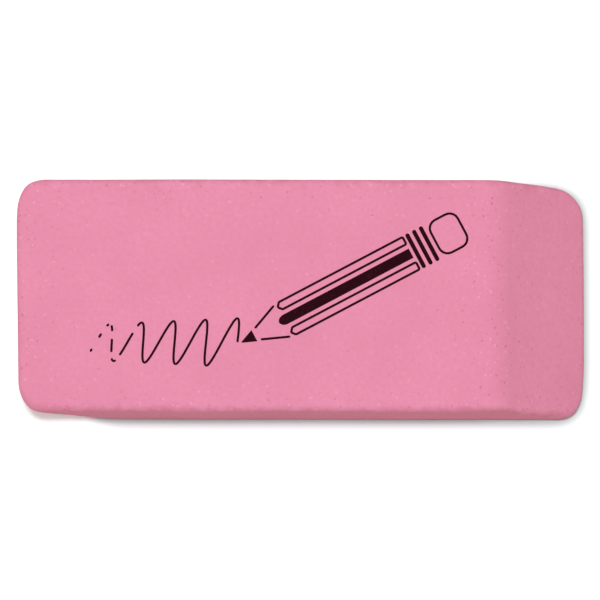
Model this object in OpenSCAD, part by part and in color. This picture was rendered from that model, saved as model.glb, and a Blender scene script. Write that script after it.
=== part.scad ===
// Bevelled pink rubber eraser, moulded and tumbled as one solid block.
// Seen from the side it is a rhomboid: the upper rubbing face overhangs the
// bevel at the left end, and falls away into the bevel at the right end.
// X runs along the length, Y across the width, and Z up from the face that it lies on.

/* [Block] */
// Overall length, from tip to tip
body_length = 67; // [50:0.5:90]
// Width across the two long sides
body_width = 27.6; // [18:0.1:40]
// Thickness between the two rubbing faces
body_height = 11; // [8:0.1:16]
// Slope of the bevelled ends, in degrees from the rubbing faces
bevel_angle = 44; // [38:0.5:75]

/* [Rounding] */
// Radius of the four corners at the tips, seen from above
corner_radius = 3.5; // [2:0.1:6]
// Radius rolled onto every edge
edge_radius = 0.9; // [0.5:0.1:1.4]
// Radius of the two soft ridges, where a rubbing face turns into a bevel
ridge_radius = 5; // [1.5:0.1:6]

/* [Smoothness] */
// Facets in a full turn of a corner, seen from above
corner_facets = 64; // [24:8:96]
// Facets in half a turn of a rolled edge
edge_facets = 16; // [8:2:24]
// Facets across each soft ridge
ridge_facets = 8; // [2:1:12]

/* [Hidden] */
rubber_pink = "#E991AF";

// Centre line of the rolled edge at the right tip, in the side profile
tip = [body_length / 2 - edge_radius, edge_radius];
// Arc of that line round a corner, seen from above
corner_arc = corner_radius - edge_radius;
corner_x = tip.x - corner_arc;
// Arc of that line over the upper ridge, in the side profile
ridge_arc = ridge_radius - edge_radius;
ridge_z = body_height - ridge_radius;
ridge_x = tip.x - ridge_arc / sin(bevel_angle) - (ridge_z - tip.y) / tan(bevel_angle);
ridge_end = ridge_x + ridge_arc * sin(bevel_angle);

// Places along X at which the upper edges of the right end turn: round a corner, and over the ridge
stations = [
    for (facet = [0 : corner_facets / 4])
        corner_x + corner_arc * cos(360 * facet / corner_facets),
    for (facet = [0 : ridge_facets])
        ridge_x + ridge_arc * sin(bevel_angle * facet / ridge_facets)
];

// Half outline of the round bead that rolls an edge, and of the coin that rounds the foot of a corner
bead_outline = [
    for (facet = [0 : edge_facets])
        let (turn = 180 * facet / edge_facets - 90)
            edge_radius * [cos(turn), sin(turn)]
];
coin_outline = [
    [0, -edge_radius],
    for (point = bead_outline)
        point + [corner_arc, 0],
    [0, edge_radius]
];

// How far a corner draws the centre line in from that of the long edge, at a place along X
function inset(x) =
    x > corner_x ? corner_arc - sqrt(max(0, corner_arc ^ 2 - (x - corner_x) ^ 2)) : 0;

// Height of the centre line down the bevel, over the ridge and along the upper face, at a place along X
function rim_z(x) =
    x > ridge_end ? tip.y + (tip.x - x) * tan(bevel_angle)
    : x > ridge_x ? ridge_z + sqrt(max(0, ridge_arc ^ 2 - (x - ridge_x) ^ 2))
    : body_height - edge_radius;

// Coin at the foot of the right end's corner on one side, and beads along the upper edge there
module right_edge(side) {
    translate([corner_x, side * (body_width / 2 - corner_radius), tip.y])
        rotate_extrude($fn = corner_facets)
            polygon(coin_outline);
    for (x = stations)
        translate([x, side * (body_width / 2 - edge_radius - inset(x)), rim_z(x)])
            rotate_extrude($fn = 2 * edge_facets)
                polygon(bead_outline);
}

// Coins and beads of the right end, on both sides
module right_end() {
    for (side = [-1, 1])
        right_edge(side);
}

// The whole eraser: one skin drawn over the right end and the left, its half-turned twin
module eraser_block() {
    color(rubber_pink)
        hull() {
            right_end();
            translate([0, 0, body_height])
                rotate([0, 180, 0])
                    right_end();
        }
}

eraser_block();
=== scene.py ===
"""Looks of a bevelled pink rubber eraser with a pencil printed on its upper face.

The rubber is a dense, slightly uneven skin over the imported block, and the print is a thin film of ink
that follows that skin. Lengths are in metres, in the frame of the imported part, except where a comment
says millimetres.
"""

import math

import bmesh
import bpy
from mathutils import Matrix, Quaternion, Vector, noise
from mathutils.bvhtree import BVHTree


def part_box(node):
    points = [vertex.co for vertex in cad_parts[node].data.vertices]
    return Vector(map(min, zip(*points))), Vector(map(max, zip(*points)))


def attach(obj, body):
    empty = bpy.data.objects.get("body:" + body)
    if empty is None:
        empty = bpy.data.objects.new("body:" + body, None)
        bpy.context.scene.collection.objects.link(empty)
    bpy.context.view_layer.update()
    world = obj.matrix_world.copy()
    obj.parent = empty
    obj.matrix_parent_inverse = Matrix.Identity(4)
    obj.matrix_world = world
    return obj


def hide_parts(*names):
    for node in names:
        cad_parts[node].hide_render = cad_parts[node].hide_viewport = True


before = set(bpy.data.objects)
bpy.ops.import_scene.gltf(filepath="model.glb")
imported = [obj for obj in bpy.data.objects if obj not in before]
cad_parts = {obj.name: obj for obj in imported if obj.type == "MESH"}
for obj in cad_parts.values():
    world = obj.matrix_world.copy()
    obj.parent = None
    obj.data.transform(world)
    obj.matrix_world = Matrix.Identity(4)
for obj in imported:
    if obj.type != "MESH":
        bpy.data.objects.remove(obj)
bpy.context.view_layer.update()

MM = 0.001
NODE = "eraser_block"
BODY = "root"

# The block, as packed, and the slope of its bevels
low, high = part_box(NODE)
centre = (low + high) / 2
BEVEL_SLOPE = math.radians(44)

# Skin of the rubber: how closely it is welded, how finely it is cut, and how much it is smoothed
WELD = 0.001 * MM
VOXEL = 0.26 * MM
SMOOTH_SHARE = 0.5
SMOOTH_ROUNDS = 3

# How far the left and the right end are out of square, the lengths and heights of the waves in the skin,
# and how far up from the floor the waves fade in
END_SKEWS = (-0.0122, -0.0049)
UNEVEN_WAVES = [(14 * MM, 0.05 * MM), (2.2 * MM, 0.012 * MM)]
FLAT_FOOT = 1.5 * MM

# Tumbled places, in millimetres: where, how far round it the rubber is moved, and by how much along X and Y
WORN_PLACES = [
    # Corners of the left end
    ((-33.4, 11.5, 9.8), 1.8, (0.13, 0)),
    ((-32.7, 13.1, 9.8), 1.3, (0, 0.16)),
    ((-32.5, -13.0, 9.8), 1.4, (0, -0.25)),
    ((-31.0, -13.6, 9.8), 1.4, (0, -0.1)),
    # Corners and tip of the right end
    ((32.3, 12.6, 1.2), 2.0, (-0.07, -0.08)),
    ((33.2, -10.9, 1.2), 2.0, (-0.18, 0)),
    ((32.0, -13.2, 1.2), 1.6, (0, -0.16)),
    ((33.5, 1.0, 1.2), 8.0, (0.05, 0)),
    # Front side
    ((-22.0, -14.0, 5.0), 12.0, (0, 0.09)),
    ((0.0, -14.0, 5.0), 12.0, (0, 0.07)),
    ((22.0, -14.0, 5.0), 12.0, (0, 0.07)),
    # Front and back edge of the right bevel, from the ridge down
    ((22.8, -13.6, 9.5), 2.0, (0, 0.18)),
    ((26.0, -13.7, 7.0), 2.5, (0, 0.1)),
    ((29.5, -13.6, 3.9), 2.3, (0, 0.12)),
    ((26.5, 13.7, 6.8), 3.0, (0, -0.08)),
    ((30.2, 13.6, 3.2), 2.6, (0, -0.17)),
]

# Colours of the rubber and the ink, in sRGB bytes
PINK = (232, 144, 174)
LIGHT_PINK = (239, 151, 181)
GRAIN_PINK = (228, 136, 166)
DARK_SMUDGE = (212, 118, 148)
PALE_SMUDGE = (248, 166, 196)
DARK_GRIT = (212, 116, 147)
PALE_GRIT = (252, 172, 200)
INK_BLACK = (38, 2, 12)
INK_THIN = (96, 32, 54)

# Clouds in the materials: length of the waves in millimetres, detail, and the range that becomes 0 to 1
MOTTLE = (9.0, 3.0, 0.3, 0.7)
GRAIN = (0.5, 2.0, 0.25, 0.75)
BLOTCHES = (1.7, 3.0, 0.35, 0.65)
THIN_PLACES = (0.35, 3.0, 0.55, 0.8)
CLOUD_ROUGHNESS = 0.55

# Grit, in millimetres: spacing and radius of the specks, and how far the dark and the pale ones are shifted
GRIT_SPACING = 0.7
GRIT_RADIUS = 0.15
DARK_SHIFT = 3.7
PALE_SHIFT = 11.3

# Specks: their smallest and largest share of the radius, their weakest and strongest, the share of each
# that is even before it fades, and the detail of its ragged rim
SPECK_SIZES = (0.5, 1.5)
SPECK_STRENGTHS = (0.4, 1)
SPECK_CORE = 0.5
SPECK_DETAIL = 1.0

# Tumbled edges: how far in from every edge the rubber is rubbed, and from those of the long sides smudged,
# in millimetres, and how strong the smudges are
RUBBED_REACH = 6
SMUDGED_REACH = 1.8
SMUDGE_STRENGTH = 0.35

# What rubbing changes, from the middle of a face to an edge: how many specks there are, how strong the dark
# and the pale ones are, and how deep they lie
DARK_SHARES = (0.3, 1)
PALE_SHARES = (0.4, 1)
DARK_STRENGTHS = (0.45, 0.8)
PALE_STRENGTHS = (0.34, 0.52)
PIT_DEPTHS = (0.08, 0.8)

# Surfaces: how strong the grain and the thin places are, the range of roughness, the gloss, and the bumps
GRAIN_STRENGTH = 0.6
GRAIN_HEIGHT = 0.28
RUBBER_ROUGHNESS = (0.78, 0.9)
RUBBER_GLOSS = 0.08
BUMP_STRENGTH = 0.5
BUMP_HEIGHT = 0.03 * MM
THIN_STRENGTH = 0.4
INK_ROUGHNESS = (0.5, 0.7)
INK_GLOSS = 0.02

# Ink film: how far it stands out of the rubber and reaches into it, how finely it is cut, and from how far
# above the block it is laid
INK_RISE = 0.012 * MM
INK_SINK = 0.035 * MM
INK_STEP = 0.3 * MM
INK_DROP = 5 * MM

# Printed lines, in millimetres: their width, and the steps along a line, an outline and a round corner of it
LINE = 0.28
LINE_STEP = INK_STEP / MM * 0.5
OUTLINE_STEP = 0.4
CORNER_STEPS = 5

# Round end of a line: shares of its length at which it is cut, and share of the width at its very tip
TIP_CUTS = (0, 0.05, 0.2, 0.45, 0.72)
TIP_WIDTH = 0.08

# Printed pencil, in millimetres along and across it from its point
PENCIL_POINT = (-7.0, -5.6)
PENCIL_TURN = math.radians(28)
PENCIL_HALF = 2.3
POINT_WIDTH = LINE * 0.4
LEAD_END = 1.7
LEAD_STEPS = 8
CONE_END = 5.6
CONE_GAP = 0.2
BARREL_END = 22.6
FERRULE_BARS = [23.2, 24.1, 25.0]
FERRULE_WIDTH = 0.5
RUBBER_START = 25.8
RUBBER_END = 29.4
RUBBER_CORNER = 1.1

# Its facets: the gap between them, where the tip and the shoulders of the outer ones lie past the cone, and
# how far the middle one reaches onto the cone and is round there
FACET_GAP = 0.45
FACET_TIP = 0.1
FACET_SHOULDER = 0.5
FACET_CORNER = 0.18
MIDDLE_OVERLAP = 0.6
MIDDLE_ROUND = 0.9
MIDDLE_BLUNT = 0.02
ROUND_STEPS = 8
STRAIGHT_STEPS = 40

# Printed pencil line, in millimetres: its gap to the point, and the length and reach of its waves; then how
# much they slant, the share of the reach that is lost with each, and the steps in each
WAVE_GAP = 0.5
WAVE_LENGTH = 3.7
WAVE_REACH = 2.9
WAVE_SLANT = 0.32
WAVE_FADE = 0.06
WAVE_STEPS = 60
# Stretches of it that aren't rubbed out, in waves from the point
WAVE_STRETCHES = [
    (0, 3.35), (3.42, 3.62), (3.69, 3.84), (3.91, 4.03),
    (4.1, 4.19), (4.27, 4.33), (4.42, 4.46), (4.56, 4.59),
]

# Photograph's view: its width and the object's offset are in pixels, and the sensor is in millimetres
IMAGE_WIDTH = 600
PIXELS_PER_METRE = 8448
VIEW_ELEVATION = math.radians(84.09)
VIEW_DISTANCE = 1.25
VIEW_ROLL = math.radians(0.1)
OFFSET_PIXELS = 1.15
SENSOR = 36
CLIP_START = 0.01
CLIP_END = 10

# Light: how much the surrounding adds to a white surface that faces up, and the colours of the light
AMBIENT = 0.36
AMBIENT_COLOUR = (1.0, 0.92, 0.8)
LAMP_COLOUR = (1.0, 1.04, 1.1)
LAMP_DISTANCE = 1.0
# Lamps: degrees from overhead towards +X and towards +Y, width, and how much each adds to such a surface
LAMPS = {
    "key": (-3, 0, 0.1, 0.46),
    "fill": (45, 0, 0.5, 0.09),
    "rim": (-58, 25, 0.6, 0.09),
}

# Floor: its size, the colour that it throws back onto the object, and the colour that is seen of it
FLOOR_SIZE = 6
FLOOR_BOUNCE = (0.92, 0.86, 0.77, 1)
FLOOR_SEEN = (1.335, 1.47, 1.46, 1)
# Painted shade at the foot of the object, which darkens the floor's own colour where the object closes it
# in: its reach and samples, how open a place is where the shade is darkest and where it ends, and how light
# the floor is in those two places
CONTACT_REACH = 2.0 * MM
CONTACT_SAMPLES = 24
CONTACT_OPENNESS = (0.62, 0.9)
CONTACT_SHADES = (0.5, 0.905)


# Node helpers

def new_material(name):
    """An empty node material, with its tree and its shader."""
    material = bpy.data.materials.new(name)
    material.use_nodes = True
    tree = material.node_tree
    return material, tree, tree.nodes["Principled BSDF"]


def add(tree, kind, inputs=None, **settings):
    """A node of that kind, with its settings, and with numbers or links on its inputs."""
    node = tree.nodes.new(kind)
    for name, value in settings.items():
        setattr(node, name, value)
    for name, value in (inputs or {}).items():
        if isinstance(value, bpy.types.NodeSocket):
            tree.links.new(value, node.inputs[name])
        else:
            node.inputs[name].default_value = value
    return node


def colour(red, green, blue):
    """A colour written in sRGB bytes, as the linear colour that a socket holds."""
    def linear(byte):
        share = byte / 255
        return share / 12.92 if share <= 0.04045 else ((share + 0.055) / 1.055) ** 2.4
    return (linear(red), linear(green), linear(blue), 1)


def mix(tree, factor, first, second):
    """The colour between two colours, as a socket."""
    node = add(tree, "ShaderNodeMix", data_type="RGBA")
    # The node's sockets for colours, which share their names with those for numbers and vectors
    for socket, value in ((node.inputs[0], factor), (node.inputs[6], first), (node.inputs[7], second)):
        if isinstance(value, bpy.types.NodeSocket):
            tree.links.new(value, socket)
        else:
            socket.default_value = value
    return node.outputs[2]


def remap(tree, value, from_low, from_high, to_low=0.0, to_high=1.0, smooth=False):
    """A value moved from one range to another, as a socket."""
    kind = "SMOOTHSTEP" if smooth else "LINEAR"
    inputs = {0: value, 1: from_low, 2: from_high, 3: to_low, 4: to_high}
    return add(tree, "ShaderNodeMapRange", inputs, interpolation_type=kind, clamp=True).outputs[0]


def maths(tree, operation, first, second):
    """Two numbers put together, as a socket."""
    return add(tree, "ShaderNodeMath", {0: first, 1: second}, operation=operation).outputs[0]


def millimetres(tree):
    """The place on the piece, in millimetres, as a socket."""
    place = add(tree, "ShaderNodeTexCoord").outputs["Object"]
    scaled = add(tree, "ShaderNodeVectorMath", {0: place, "Scale": 1 / MM}, operation="SCALE")
    return scaled.outputs[0]


def cloud(tree, place, wave, detail, from_low, from_high):
    """Soft noise with waves that many millimetres long, its range moved to 0 to 1, as a socket."""
    inputs = {"Vector": place, "Scale": 1 / wave, "Detail": detail, "Roughness": CLOUD_ROUGHNESS}
    waves = add(tree, "ShaderNodeTexNoise", inputs).outputs["Fac"]
    return remap(tree, waves, from_low, from_high)


def specks(tree, place, spacing, radius, share, shift):
    """Scattered ragged specks of mixed sizes and strengths, in share of the cells that are spacing wide."""
    inputs = {"Vector": place, "Scale": 1 / radius, "Detail": SPECK_DETAIL}
    warp = add(tree, "ShaderNodeTexNoise", inputs).outputs["Color"]
    inputs = {0: warp, 1: (radius,) * 3, 2: place}
    ragged = add(tree, "ShaderNodeVectorMath", inputs, operation="MULTIPLY_ADD").outputs[0]
    moved = add(tree, "ShaderNodeVectorMath", {0: ragged, 1: (shift,) * 3}, operation="ADD").outputs[0]
    cells = add(tree, "ShaderNodeTexVoronoi", {"Vector": moved, "Scale": 1 / spacing})
    dice = add(tree, "ShaderNodeSeparateColor", {0: cells.outputs["Color"]})
    smallest, largest = (size * radius / spacing for size in SPECK_SIZES)
    size = remap(tree, dice.outputs[1], 0, 1, smallest, largest)
    away = maths(tree, "DIVIDE", cells.outputs["Distance"], size)
    spot = remap(tree, away, SPECK_CORE, 1, 1, 0, smooth=True)
    strength = remap(tree, dice.outputs[2], 0, 1, *SPECK_STRENGTHS)
    chosen = maths(tree, "LESS_THAN", dice.outputs[0], share)
    return maths(tree, "MULTIPLY", maths(tree, "MULTIPLY", spot, strength), chosen)


def depth(tree, place, way, half):
    """How deep a place lies inside two opposite faces, each half away from the middle, as a socket."""
    along = add(tree, "ShaderNodeVectorMath", {0: place, 1: way}, operation="DOT_PRODUCT").outputs["Value"]
    away = add(tree, "ShaderNodeMath", {0: along}, operation="ABSOLUTE").outputs[0]
    return maths(tree, "SUBTRACT", half, away)


def edge_depths(tree, place):
    """How deep a place lies inside the nearest edge of a long side, and the nearest of all, as sockets."""
    half = (high - low) / 2 / MM
    across, up = math.sin(BEVEL_SLOPE), math.cos(BEVEL_SLOPE)
    inner = add(tree, "ShaderNodeVectorMath", {0: place, 1: centre / MM}, operation="SUBTRACT").outputs[0]
    sides = depth(tree, inner, (0, 1, 0), half.y)
    faces = depth(tree, inner, (0, 0, 1), half.z)
    bevels = depth(tree, inner, (across, 0, up), half.x * across - half.z * up)
    rims = maths(tree, "MAXIMUM", sides, maths(tree, "MINIMUM", faces, bevels))
    ridges = maths(tree, "MAXIMUM", faces, bevels)
    return rims, maths(tree, "MINIMUM", rims, ridges)


def seen_rays(tree):
    """1 for rays that show a surface, also in a mirror or through glass, and 0 for others, as a socket."""
    path = add(tree, "ShaderNodeLightPath")
    seen = maths(tree, "MAXIMUM", path.outputs["Is Camera Ray"], path.outputs["Is Glossy Ray"])
    return maths(tree, "MAXIMUM", seen, path.outputs["Is Transmission Ray"])


# Materials

def rubber_material():
    """Matte pink rubber: faint mottling, fine grain, smudged rims, and grit that gathers along the edges."""
    material, tree, shader = new_material("pink_rubber")
    place = millimetres(tree)
    rim, edge = edge_depths(tree, place)

    mottle = cloud(tree, place, *MOTTLE)
    grain = cloud(tree, place, *GRAIN)
    pink = mix(tree, mottle, colour(*PINK), colour(*LIGHT_PINK))
    pink = mix(tree, maths(tree, "MULTIPLY", grain, GRAIN_STRENGTH), pink, colour(*GRAIN_PINK))

    smudge = mix(tree, cloud(tree, place, *BLOTCHES), colour(*DARK_SMUDGE), colour(*PALE_SMUDGE))
    smudged = remap(tree, rim, 0, SMUDGED_REACH, SMUDGE_STRENGTH, 0, smooth=True)
    pink = mix(tree, smudged, pink, smudge)

    rubbed = remap(tree, edge, 0, RUBBED_REACH, 1, 0, smooth=True)
    dark_share = remap(tree, rubbed, 0, 1, *DARK_SHARES)
    pale_share = remap(tree, rubbed, 0, 1, *PALE_SHARES)
    dark = specks(tree, place, GRIT_SPACING, GRIT_RADIUS, dark_share, DARK_SHIFT)
    pale = specks(tree, place, GRIT_SPACING, GRIT_RADIUS, pale_share, PALE_SHIFT)
    dark_strength = remap(tree, rubbed, 0, 1, *DARK_STRENGTHS)
    pale_strength = remap(tree, rubbed, 0, 1, *PALE_STRENGTHS)
    pink = mix(tree, maths(tree, "MULTIPLY", dark, dark_strength), pink, colour(*DARK_GRIT))
    pink = mix(tree, maths(tree, "MULTIPLY", pale, pale_strength), pink, colour(*PALE_GRIT))

    fine = maths(tree, "MULTIPLY", grain, GRAIN_HEIGHT)
    pit_depth = remap(tree, rubbed, 0, 1, *PIT_DEPTHS)
    pits = maths(tree, "MULTIPLY", maths(tree, "MAXIMUM", dark, pale), pit_depth)
    height = maths(tree, "SUBTRACT", fine, pits)
    inputs = {"Strength": BUMP_STRENGTH, "Distance": BUMP_HEIGHT, "Height": height}
    bump = add(tree, "ShaderNodeBump", inputs)

    tree.links.new(pink, shader.inputs["Base Color"])
    tree.links.new(remap(tree, grain, 0, 1, *RUBBER_ROUGHNESS), shader.inputs["Roughness"])
    tree.links.new(bump.outputs[0], shader.inputs["Normal"])
    shader.inputs["Specular IOR Level"].default_value = RUBBER_GLOSS
    return material


def ink_material():
    """Flat black ink, a little thin where it didn't reach the bottom of the grain."""
    material, tree, shader = new_material("print_ink")
    thin = cloud(tree, millimetres(tree), *THIN_PLACES)
    black = mix(tree, maths(tree, "MULTIPLY", thin, THIN_STRENGTH), colour(*INK_BLACK), colour(*INK_THIN))
    tree.links.new(black, shader.inputs["Base Color"])
    tree.links.new(remap(tree, thin, 0, 1, *INK_ROUGHNESS), shader.inputs["Roughness"])
    shader.inputs["Specular IOR Level"].default_value = INK_GLOSS
    return material


def floor_material():
    """White paper that is seen pure white, except in the shadow and a painted shade at the foot of the
    object.
    """
    material, tree, shader = new_material("white_floor")
    tree.nodes.remove(shader)
    inputs = {"Distance": CONTACT_REACH}
    near = add(tree, "ShaderNodeAmbientOcclusion", inputs, samples=CONTACT_SAMPLES, only_local=False)
    # Painted shade: the floor's colour is darkened where the object closes it in, for every ray
    shade = remap(tree, near.outputs["AO"], *CONTACT_OPENNESS, *CONTACT_SHADES)
    white = mix(tree, seen_rays(tree), FLOOR_BOUNCE, FLOOR_SEEN)
    shaded = add(tree, "ShaderNodeVectorMath", {0: white, "Scale": shade}, operation="SCALE").outputs[0]
    paper = add(tree, "ShaderNodeBsdfDiffuse", {"Color": shaded})
    tree.links.new(paper.outputs[0], tree.nodes["Material Output"].inputs["Surface"])
    return material


# Rubber block

def dense_skin():
    """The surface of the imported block, welded, cut evenly and fine, and smoothed."""
    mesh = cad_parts[NODE].data.copy()
    welded = bmesh.new()
    welded.from_mesh(mesh)
    bmesh.ops.remove_doubles(welded, verts=welded.verts, dist=WELD)
    welded.to_mesh(mesh)
    welded.free()
    rough = bpy.data.objects.new("rough_block", mesh)
    bpy.context.collection.objects.link(rough)
    remesh = rough.modifiers.new("remesh", "REMESH")
    remesh.mode = "VOXEL"
    remesh.voxel_size = VOXEL
    smooth = rough.modifiers.new("smooth", "SMOOTH")
    smooth.factor = SMOOTH_SHARE
    smooth.iterations = SMOOTH_ROUNDS
    graph = bpy.context.evaluated_depsgraph_get()
    skin = bpy.data.meshes.new_from_object(rough.evaluated_get(graph))
    bpy.data.objects.remove(rough)
    return skin


def uneven(point):
    """How far the moulded and tumbled surface stands out at a point of the perfect block."""
    lift = sum(height * noise.noise(point / wave) for wave, height in UNEVEN_WAVES)
    return lift * min(1, max(0, (point.z - low.z) / FLAT_FOOT))


def worn(point):
    """How far tumbling has moved the rubber at a point of the perfect block."""
    shift = Vector((0, 0, 0))
    for place, reach, push in WORN_PLACES:
        distance = (point / MM - Vector(place)).length / reach
        shift += Vector((*push, 0)) * MM * math.exp(-distance * distance)
    return shift


def skewed(point):
    """How far the ends being out of square moves a point of the perfect block."""
    share = (point.x - low.x) / (high.x - low.x)
    skew = END_SKEWS[0] + (END_SKEWS[1] - END_SKEWS[0]) * share
    return Vector((skew * point.y, 0, 0))


def rubber_block():
    """The block with a dense skin, a little uneven and out of square as a tumbled piece is."""
    skin = dense_skin()
    places = [vertex.co.copy() for vertex in skin.vertices]
    normals = [vertex.normal.copy() for vertex in skin.vertices]
    moved = []
    for place, normal in zip(places, normals):
        moved.extend(place + normal * uneven(place) + worn(place) + skewed(place))
    skin.vertices.foreach_set("co", moved)
    skin.update()
    skin.shade_smooth()
    skin.materials.clear()
    skin.materials.append(rubber_material())
    skin.name = "eraser_rubber"
    block = bpy.data.objects.new("eraser_rubber", skin)
    bpy.context.collection.objects.link(block)
    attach(block, BODY)
    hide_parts(NODE)
    return block


# Print

class InkFilm:
    """Thin closed strips of ink on the upper face of a piece, gathered in one mesh."""

    def __init__(self, carrier):
        mesh = carrier.data
        corners = [vertex.co.copy() for vertex in mesh.vertices]
        self.skin = BVHTree.FromPolygons(corners, [list(face.vertices) for face in mesh.polygons])
        self.points = []
        self.faces = []

    def place(self, x, y):
        """The point of the skin at a place of the drawing, which is in millimetres."""
        above = Vector((x * MM, y * MM, high.z + INK_DROP))
        return self.skin.ray_cast(above, Vector((0, 0, -1)))[0]

    def stroke(self, path, widths, closed=False):
        """A strip along a path of the drawing, with a width for each point of it."""
        count = len(path)
        across = max(2, math.ceil(max(widths) * MM / INK_STEP) + 1)
        first = len(self.points)
        for index, (here, width) in enumerate(zip(path, widths)):
            before = path[index - 1] if index or closed else here
            after = path[(index + 1) % count] if index + 1 < count or closed else here
            along = Vector((after[0] - before[0], after[1] - before[1])).normalized()
            for column in range(across):
                side = width * (column / (across - 1) - 0.5)
                point = self.place(here[0] - along.y * side, here[1] + along.x * side)
                self.points.append(point + Vector((0, 0, INK_RISE)))
                self.points.append(point - Vector((0, 0, INK_SINK)))

        def corner(row, column, under):
            return first + 2 * ((row % count) * across + column) + under

        rows = count if closed else count - 1
        for row in range(rows):
            for column in range(across - 1):
                top = [corner(row, column, 0), corner(row + 1, column, 0),
                       corner(row + 1, column + 1, 0), corner(row, column + 1, 0)]
                self.faces.append(top[::-1])
                self.faces.append([index + 1 for index in top])
            for column, turn in ((0, 1), (across - 1, -1)):
                wall = [corner(row, column, 0), corner(row + 1, column, 0),
                        corner(row + 1, column, 1), corner(row, column, 1)]
                self.faces.append(wall[::turn])
        if not closed:
            for row, turn in ((0, -1), (count - 1, 1)):
                for column in range(across - 1):
                    cap = [corner(row, column, 0), corner(row, column + 1, 0),
                           corner(row, column + 1, 1), corner(row, column, 1)]
                    self.faces.append(cap[::turn])

    def line(self, path, width=LINE):
        """A strip of even width with round ends."""
        path = resample(path, LINE_STEP, width / 2)
        gone = distances(path)
        widths = []
        for distance in gone:
            nearest = min(distance, gone[-1] - distance, width / 2)
            inside = 1 - nearest / (width / 2)
            widths.append(width * max(TIP_WIDTH, math.sqrt(max(0, 1 - inside * inside))))
        self.stroke(path, widths)

    def outline(self, corners, radius):
        """A closed strip of even width round some corners on the printed pencil, each of them rounded."""
        points = closed_points(corners, radius)
        self.stroke(points, [LINE] * len(points), closed=True)

    def mesh(self, name):
        """The gathered strips as a mesh."""
        mesh = bpy.data.meshes.new(name)
        mesh.from_pydata(self.points, [], self.faces)
        mesh.update()
        return mesh


def distances(path):
    """How far along a path each of its points is."""
    gone = [0.0]
    for start, end in zip(path, path[1:]):
        gone.append(gone[-1] + math.dist(start, end))
    return gone


def resample(path, step, tip):
    """Points along a path, step apart, and closer together over the length of a tip at either end."""
    gone = distances(path)
    total = gone[-1]
    tips = [tip * share for share in TIP_CUTS]
    pieces = max(1, round((total - 2 * tip) / step))
    marks = tips + [tip + (total - 2 * tip) * piece / pieces for piece in range(pieces + 1)]
    marks += [total - mark for mark in reversed(tips)]
    points = []
    span = 0
    for mark in marks:
        while span < len(path) - 2 and gone[span + 1] < mark:
            span += 1
        share = (mark - gone[span]) / (gone[span + 1] - gone[span])
        points.append(tuple(a + (b - a) * share for a, b in zip(path[span], path[span + 1])))
    return points


def on_pencil(along, across):
    """A place of the drawing, from a place on the printed pencil."""
    turn_x, turn_y = math.cos(PENCIL_TURN), math.sin(PENCIL_TURN)
    x, y = PENCIL_POINT
    return (x + along * turn_x - across * turn_y, y + along * turn_y + across * turn_x)


def rounded(corners, radius):
    """The corners of a closed outline, each cut to an arc of points."""
    points = []
    for index, corner in enumerate(corners):
        here = Vector(corner)
        before = (Vector(corners[index - 1]) - here).normalized()
        after = (Vector(corners[(index + 1) % len(corners)]) - here).normalized()
        half = before.angle(after) / 2
        middle = here + (before + after).normalized() * radius / math.sin(half)
        start = here + before * radius / math.tan(half) - middle
        sweep = start.angle_signed(here + after * radius / math.tan(half) - middle)
        for step in range(CORNER_STEPS + 1):
            turn = -sweep * step / CORNER_STEPS
            points.append(middle + Vector((start.x * math.cos(turn) - start.y * math.sin(turn),
                                           start.x * math.sin(turn) + start.y * math.cos(turn))))
    return points


def closed_points(corners, radius):
    """A closed outline with round corners, in short even steps, on the printed pencil."""
    points = rounded(corners, radius)
    outline = []
    for start, end in zip(points, points[1:] + points[:1]):
        steps = max(1, round((end - start).length / OUTLINE_STEP))
        outline += [start.lerp(end, step / steps) for step in range(steps)]
    return [on_pencil(*point) for point in outline]


def draw_middle_facet(film, facet):
    """The black facet along the middle of the pencil, round where it reaches onto the cone."""
    start = CONE_END - MIDDLE_OVERLAP
    straight = BARREL_END - start - MIDDLE_ROUND
    round_end = start + MIDDLE_ROUND
    middle = [start + MIDDLE_ROUND * step / ROUND_STEPS for step in range(ROUND_STEPS)]
    middle += [round_end + straight * step / STRAIGHT_STEPS for step in range(STRAIGHT_STEPS + 1)]
    widths = []
    for along in middle:
        inside = max(0, 1 - (along - start) / MIDDLE_ROUND)
        widths.append(facet * math.sqrt(max(MIDDLE_BLUNT, 1 - inside ** 2)))
    film.stroke([on_pencil(along, 0) for along in middle], widths)


def draw_pencil(film):
    """A pencil seen from the side: lead, bare cone, three facets, ferrule and rubber tip."""
    slope = PENCIL_HALF / CONE_END
    facet = (2 * PENCIL_HALF - 2 * FACET_GAP) / 3
    inner = facet / 2 + FACET_GAP + LINE / 2
    outer = PENCIL_HALF - LINE / 2
    lead = [LEAD_END * step / LEAD_STEPS for step in range(LEAD_STEPS + 1)]
    widths = [POINT_WIDTH + 2 * slope * along for along in lead]
    film.stroke([on_pencil(along, 0) for along in lead], widths)
    for side in (-1, 1):
        cone = (LEAD_END + FACET_GAP, CONE_END - CONE_GAP)
        film.line([on_pencil(along, side * (slope * along - LINE / 2)) for along in cone])
        shoulder = CONE_END + FACET_SHOULDER
        film.outline([(shoulder, side * outer), (CONE_END + FACET_TIP, side * (inner + outer) / 2),
                      (shoulder, side * inner), (BARREL_END, side * inner), (BARREL_END, side * outer)],
                     FACET_CORNER)
    draw_middle_facet(film, facet)
    for along in FERRULE_BARS:
        film.line([on_pencil(along, -PENCIL_HALF), on_pencil(along, PENCIL_HALF)], FERRULE_WIDTH)
    film.outline([(RUBBER_START, -outer), (RUBBER_START, outer), (RUBBER_END, outer), (RUBBER_END, -outer)],
                 RUBBER_CORNER)


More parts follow.
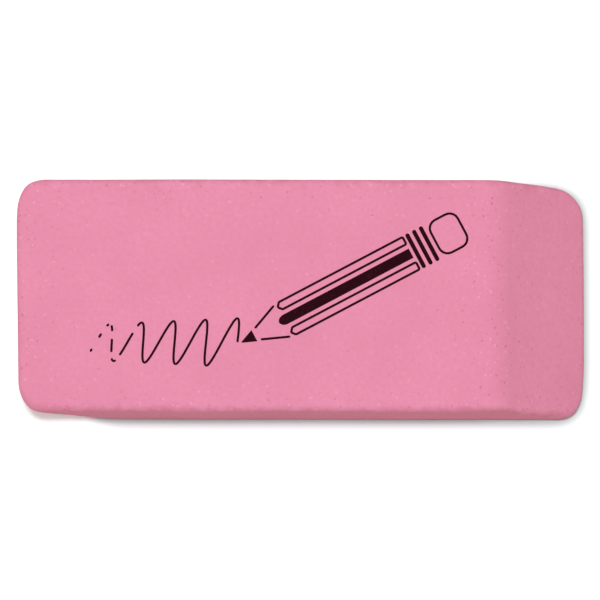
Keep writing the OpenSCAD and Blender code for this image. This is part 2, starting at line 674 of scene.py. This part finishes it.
def draw_wave(film):
    """The line that the pencil has drawn, rubbed out bit by bit at its far end."""
    start_x, start_y = PENCIL_POINT

    def wave(turns):
        y = WAVE_REACH * math.sin(2 * math.pi * turns) * (1 - WAVE_FADE * turns)
        return (start_x - WAVE_GAP - WAVE_LENGTH * turns + WAVE_SLANT * y, start_y + y)

    for first, last in WAVE_STRETCHES:
        steps = max(2, math.ceil((last - first) * WAVE_STEPS))
        film.line([wave(first + (last - first) * step / steps) for step in range(steps + 1)])


def printed_pencil(block):
    """The print, as one piece of ink on the block."""
    film = InkFilm(block)
    draw_pencil(film)
    draw_wave(film)
    mesh = film.mesh("eraser_print")
    mesh.materials.append(ink_material())
    ink = bpy.data.objects.new("eraser_print", mesh)
    bpy.context.collection.objects.link(ink)
    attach(ink, BODY)


# Stage

def soft_lamp(name, tilt_x, tilt_y, width, level):
    """A round soft lamp aimed at the object, tilted from overhead by degrees towards +X and towards +Y."""
    lamp = bpy.data.lights.new(name, "AREA")
    lamp.shape = "DISK"
    lamp.size = width
    lamp.color = LAMP_COLOUR
    way = Vector((math.tan(math.radians(tilt_x)), math.tan(math.radians(tilt_y)), 1)).normalized()
    # The power that adds that level to a white surface below it that faces up
    lamp.energy = level * math.pi ** 2 * LAMP_DISTANCE ** 2 / way.z
    light = bpy.data.objects.new(name, lamp)
    light.location = way * LAMP_DISTANCE
    across = Vector((0, 1, 0)).cross(way).normalized()
    turn = Matrix((across, way.cross(across), way)).transposed()
    light.rotation_euler = turn.to_euler()
    bpy.context.collection.objects.link(light)


def surround():
    """A pale surrounding that lights the object evenly, and is itself seen as white."""
    world = bpy.data.worlds.new("surround")
    bpy.context.scene.world = world
    world.use_nodes = True
    tree = world.node_tree
    seen = seen_rays(tree)
    back = tree.nodes["Background"]
    tree.links.new(mix(tree, seen, (*AMBIENT_COLOUR, 1), (1, 1, 1, 1)), back.inputs["Color"])
    tree.links.new(remap(tree, seen, 0, 1, AMBIENT, 1), back.inputs["Strength"])


def stage():
    """A white floor, a pale surrounding, and soft lamps overhead, on the right, and on the left behind."""
    bpy.ops.mesh.primitive_plane_add(size=FLOOR_SIZE, location=(0, 0, low.z))
    floor = bpy.context.object
    floor.name = "floor"
    floor.data.materials.append(floor_material())
    surround()
    for name, settings in LAMPS.items():
        soft_lamp(name, *settings)


def photo_camera():
    """The photograph's view: nearly from above, a little from the front, through a long lens."""
    lens = bpy.data.cameras.new("camera")
    lens.sensor_width = SENSOR
    lens.lens = SENSOR * PIXELS_PER_METRE * VIEW_DISTANCE / IMAGE_WIDTH
    lens.clip_start = CLIP_START
    lens.clip_end = CLIP_END
    camera = bpy.data.objects.new("camera", lens)
    bpy.context.collection.objects.link(camera)
    back = Vector((0, -math.cos(VIEW_ELEVATION), math.sin(VIEW_ELEVATION)))
    aim = centre - Vector((OFFSET_PIXELS / PIXELS_PER_METRE, 0, 0))
    camera.location = aim + back * VIEW_DISTANCE
    level = (-back).to_track_quat("-Z", "Y")
    camera.rotation_euler = (level @ Quaternion((0, 0, 1), VIEW_ROLL)).to_euler()
    bpy.context.scene.camera = camera


photo_camera()
printed_pencil(rubber_block())
stage()
bpy.context.scene.view_settings.view_transform = "Standard"
